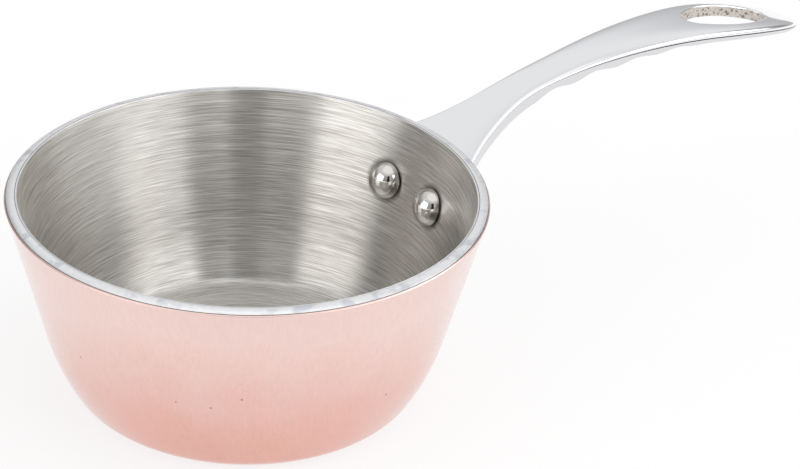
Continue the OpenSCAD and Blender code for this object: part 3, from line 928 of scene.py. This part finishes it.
# %% Floor
half_floor, plain_white = 6.0, 0.8
corners = [(x * half_floor, y * half_floor, 0) for x, y in ((-1, -1), (1, -1), (1, 1), (-1, 1))]
floor_mesh = bpy.data.meshes.new("studio_floor")
floor_mesh.from_pydata(corners, [], [(0, 1, 2, 3)])
floor = bpy.data.objects.new("studio_floor", floor_mesh)
bpy.context.collection.objects.link(floor)
paper = bpy.data.materials.new("white_paper")
paper.use_nodes = True
tree = paper.node_tree
add = network(tree)
matte = tree.nodes["Principled BSDF"]
fill(matte, {"Base Color": linear("#fcfcfc"), "Roughness": 0.9})
path = add("LightPath")
looked_at = path.outputs["Is Camera Ray"]
for ray in ("Is Glossy Ray", "Is Transmission Ray"):
    looked_at = add("Math", {"operation": "MAXIMUM", 0: looked_at, 1: path.outputs[ray]})
share = add("Math", {"operation": "MULTIPLY", 0: looked_at, 1: plain_white})
glow = add("Emission", {"Color": (1, 1, 1, 1), "Strength": 1.0})
mixed = add("MixShader", {0: share, 1: matte, 2: glow})
fill(tree.nodes["Material Output"], {"Surface": mixed})
floor_mesh.materials.append(paper)
print("floor:", 2 * half_floor, "m of", paper.name)

# %% [markdown]
# ## Light by direction
# The world is the room. Each direction has two angles: how far it is turned from the
# camera's side, and how high it is. The room is pale and evenly lit, and brighter
# towards the ceiling. Two tall soft panels stand left and right, and between them,
# behind the camera, it is darker. That gap is what the dark band on the back wall of
# the pan shows. A panel of negative strength is a dark screen in the room.

# %% Directions in the room
world = bpy.data.worlds.new("studio")
bpy.context.scene.world = world
world.use_nodes = True
tree = world.node_tree
add = network(tree)
way = add("TexCoord").outputs["Generated"]
to_camera = (float(np.sin(azimuth)), -float(np.cos(azimuth)), 0.0)
to_right = (-to_camera[1], to_camera[0], 0.0)
ahead = add("VectorMath", {"operation": "DOT_PRODUCT", 0: way, 1: to_camera})
aside = add("VectorMath", {"operation": "DOT_PRODUCT", 0: way, 1: to_right})
turned = add("Math", {"operation": "ARCTAN2", 0: aside.outputs["Value"],
                      1: ahead.outputs["Value"]})
upwards = add("SeparateXYZ", {0: way}).outputs["Z"]
height = add("Math", {"operation": "ARCSINE", 0: upwards})

def step_up(value, at, soft):
    """A soft step from 0 to 1 as an angle in degrees passes a place: 3 t t less 2 t t t."""
    low, high = np.radians([at - soft / 2, at + soft / 2])
    return add("MapRange", {"interpolation_type": "SMOOTHSTEP", "map": (low, high),
                            "Value": value})

def between(value, low, high, soft):
    """1 between two angles and 0 beyond them: a step up less a later step up."""
    return add("Math", {"operation": "SUBTRACT", 0: step_up(value, low, soft),
                        1: step_up(value, high, soft)})

print("turns are counted from", [round(v, 3) for v in to_camera])

# %% The room's light
room_light, upper_light, ceiling_light, least_light = 0.5, 0.25, 0.3, 0.02
upper_at, ceiling_at = (18, 36), (62, 12)
panels = [  # turned from, to, low, high, softness of the edges in degrees, strength
    (36, 116, 14, 46, 6, 2.15),  # large panel on the right
    (-80, -37, 2, 44, 6, 1.4),  # panel on the left
    (130, 230, 20, 54, 16, 0.08),  # paler far wall, and below its half past the seam
    (-230, -130, 20, 54, 16, 0.08),
    (-36, 36, -10, 13, 4, 0.9),  # pale skirting behind the camera
    (-36, 36, 13, 50, 8, -0.32),  # gap between the panels
    (11, 19, -10, 50, 3, 0.25),  # pale slit in it
    (-8, 10, -10, 50, 3, -0.6),  # dark screen in it
    (120, 144, 8, 38, 10, -0.3),  # dark screens beside the panels
    (-150, -86, 8, 38, 10, -0.3)]
total = add("Math", {"operation": "MULTIPLY_ADD", 0: step_up(height, *upper_at), 1: upper_light,
                     2: room_light})
total = add("Math", {"operation": "MULTIPLY_ADD", 0: step_up(height, *ceiling_at),
                     1: ceiling_light, 2: total})
for turn_from, turn_to, low, high, soft, strength in panels:
    patch = add("Math", {"operation": "MULTIPLY", 0: between(turned, turn_from, turn_to, soft),
                         1: between(height, low, high, soft)})
    total = add("Math", {"operation": "MULTIPLY_ADD", 0: patch, 1: strength, 2: total})
strength = add("Math", {"operation": "MAXIMUM", 0: total, 1: least_light})

# %% [markdown]
# ## Tint of the room
# The dark reflections in the photograph are warm and the pale ones a touch cool, so a
# colour ramp gives each strength of light its tint, here already in linear light.

# %% Tint and world
shade = add("ValToRGB", {0: total})
ramp = shade.color_ramp.elements
ramp[0].position, ramp[1].position = 0.1, 1.0
ramp.new(0.55)
for element, colour in zip(ramp, ((1, 0.88, 0.8), (0.97, 0.98, 1), (1, 1, 1))):
    element.color = (*colour, 1)
fill(tree.nodes["Background"], {"Color": shade, "Strength": strength})
bpy.context.scene.view_settings.view_transform = "Standard"
print("panels and screens in the room:", len(panels))

# %% [markdown]
# ## How bright the room is
# A colour should render about as it is written, so a level white card should get a
# light near 1. The same formulas are added up here over the half sphere above it,
# where each direction counts by its height.

# %% Light on a white card
sky_height = np.radians(np.arange(0.5, 90, 1))[:, None]
sky_turn = np.radians(np.arange(-179.5, 180, 1))[None, :]

def rise(value, at, soft):
    """The same soft step for arrays: 3 t t less 2 t t t, with t from 0 to 1."""
    t = np.clip((np.degrees(value) - at) / soft + 0.5, 0, 1)
    return t * t * (3 - 2 * t)

light = (room_light + upper_light * rise(sky_height, *upper_at)
         + ceiling_light * rise(sky_height, *ceiling_at) + 0 * sky_turn)
for turn_from, turn_to, low, high, soft, strength in panels:
    light = light + strength * (
        rise(sky_turn, turn_from, soft) - rise(sky_turn, turn_to, soft)) * (
        rise(sky_height, low, soft) - rise(sky_height, high, soft))
weight = np.sin(sky_height) * np.cos(sky_height) + 0 * sky_turn
card = (np.maximum(light, least_light) * weight).sum() / weight.sum()
print("light on a level white card:", round(float(card), 3))
